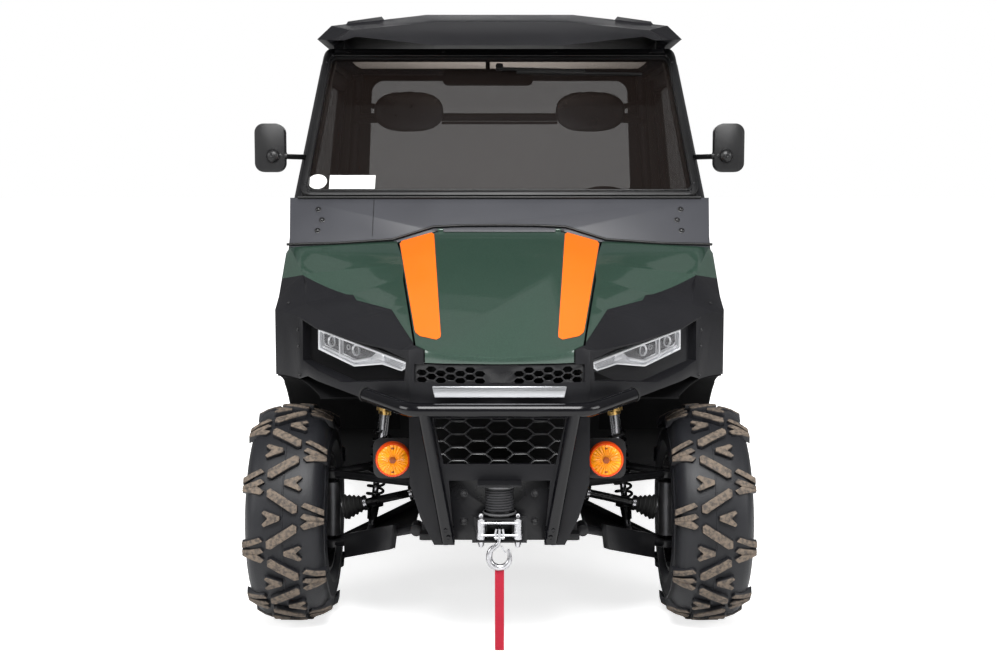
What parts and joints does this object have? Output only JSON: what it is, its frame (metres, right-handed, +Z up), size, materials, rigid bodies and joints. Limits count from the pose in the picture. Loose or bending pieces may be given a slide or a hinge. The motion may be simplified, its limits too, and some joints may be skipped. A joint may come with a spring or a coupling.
{
  "type": "side by side utility vehicle",
  "caption": "Two-seat off-road utility vehicle with an enclosed cab, tilting cargo bed, opening doors and hood, steered front wheels and a front guard with winch.",
  "frame": {"origin": "on the ground under the middle of the vehicle's box, where all four tyres stand", "axes": "-Y points forward, +X to the vehicle's left, +Z up"},
  "size_m": [1.604, 3.098, 1.926],
  "materials": {
    "frame_steel": "satin",
    "alloy": "satin",
    "tyre": "matte",
    "rim_black": "satin",
    "green_panel": "gloss",
    "black_plastic": "satin",
    "cowl_grey": "satin",
    "glass": "clear",
    "lamp_clear": "gloss",
    "lamp_amber": "gloss",
    "lamp_red": "gloss",
    "rubber": "matte",
    "seat_vinyl": "matte",
    "strap_red": "matte",
    "zinc": "satin",
    "silver": "satin",
    "spring": "satin",
    "mirror_black": "satin",
    "bed_steel": "satin"
  },
  "bodies": {
    "root": {"badge_bar": "silver", "bull_bar": "frame_steel", "cab_cage": "frame_steel", "cab_glass": "glass", "cab_tub": "black_plastic", "cowl_panel": "cowl_grey", "dashboard": "black_plastic", "drive_shafts": "zinc", "engine_block": "alloy", "fairlead": "zinc", "final_drives": "alloy", "frame": "frame_steel", "front_cladding": "black_plastic", "front_fascia": "black_plastic", "front_fenders": "green_panel", "grilles": "black_plastic", "head_lamps": "lamp_clear", "hook_strap": "strap_red", "inner_fenders": "black_plastic", "inside_mirror": "mirror_black", "mirrors": "mirror_black", "radiator": "black_plastic", "rear_fenders": "black_plastic", "rear_hubs": "alloy", "rear_panel": "frame_steel", "roof": "black_plastic", "screen_frame": "rubber", "seats": "seat_vinyl", "shocks": "spring", "suspension_arms": "frame_steel", "tail_lamps": "lamp_red", "turn_lamps": "lamp_amber", "winch": "frame_steel", "winch_hook": "zinc", "wiper": "rubber"},
    "upright_left": {"knuckle_left": "alloy"},
    "upright_right": {"knuckle_right": "alloy"},
    "steering_wheel": {"steering_wheel": "rubber"},
    "hood": {"hood_lid": "green_panel"},
    "door_left": {"door_left": "frame_steel", "door_glass_left": "glass"},
    "door_right": {"door_right": "frame_steel", "door_glass_right": "glass"},
    "bed": {"cargo_bed": "bed_steel"},
    "tailgate": {"tailgate": "bed_steel"},
    "wheel_front_left": {"tyre_front_left": "tyre", "rim_front_left": "rim_black"},
    "wheel_front_right": {"tyre_front_right": "tyre", "rim_front_right": "rim_black"},
    "wheel_rear_left": {"tyre_rear_left": "tyre", "rim_rear_left": "rim_black"},
    "wheel_rear_right": {"tyre_rear_right": "tyre", "rim_rear_right": "rim_black"}
  },
  "joints": [
    {"name": "steer_left", "type": "hinge", "parent": "root", "child": "upright_left", "pos_m": [0.515, -1, 0.33], "axis": [0, 0, 1], "range_deg": [-28, 28]},
    {"name": "steer_right", "type": "hinge", "parent": "root", "child": "upright_right", "pos_m": [-0.515, -1, 0.33], "axis": [0, 0, 1], "range_deg": [-28, 28]},
    {"name": "spin_front_left", "type": "hinge", "parent": "upright_left", "child": "wheel_front_left", "pos_m": [0.621, -1, 0.33], "axis": [1, 0, 0], "continuous": true},
    {"name": "spin_front_right", "type": "hinge", "parent": "upright_right", "child": "wheel_front_right", "pos_m": [-0.621, -1, 0.33], "axis": [1, 0, 0], "continuous": true},
    {"name": "spin_rear_left", "type": "hinge", "parent": "root", "child": "wheel_rear_left", "pos_m": [0.615, 1.18, 0.33], "axis": [1, 0, 0], "continuous": true},
    {"name": "spin_rear_right", "type": "hinge", "parent": "root", "child": "wheel_rear_right", "pos_m": [-0.615, 1.18, 0.33], "axis": [1, 0, 0], "continuous": true},
    {"name": "steering_wheel_turn", "type": "hinge", "parent": "root", "child": "steering_wheel", "pos_m": [0.376, -0.1, 1.183], "axis": [0, 0.8192, 0.5736], "range_deg": [-340, 340]},
    {"name": "hood_hinge", "type": "hinge", "parent": "root", "child": "hood", "pos_m": [0, -0.683, 1.184], "axis": [-1, 0, 0], "range_deg": [0, 55]},
    {"name": "door_left_hinge", "type": "hinge", "parent": "root", "child": "door_left", "pos_m": [0.708, -0.532, 0.8], "axis": [0, 0, -1], "range_deg": [0, 65]},
    {"name": "door_right_hinge", "type": "hinge", "parent": "root", "child": "door_right", "pos_m": [-0.708, -0.532, 0.8], "axis": [0, 0, 1], "range_deg": [0, 65]},
    {"name": "bed_tilt", "type": "hinge", "parent": "root", "child": "bed", "pos_m": [0, 1.49, 0.785], "axis": [-1, 0, 0], "range_deg": [0, 45]},
    {"name": "tailgate_hinge", "type": "hinge", "parent": "bed", "child": "tailgate", "pos_m": [0, 1.543, 0.79], "axis": [-1, 0, 0], "range_deg": [0, 90]}
  ],
  "couplings": [
    {"joint": "steer_left", "follows": "steer_right", "ratio": 1},
    {"joint": "steering_wheel_turn", "follows": "steer_right", "ratio": 12}
  ]
}
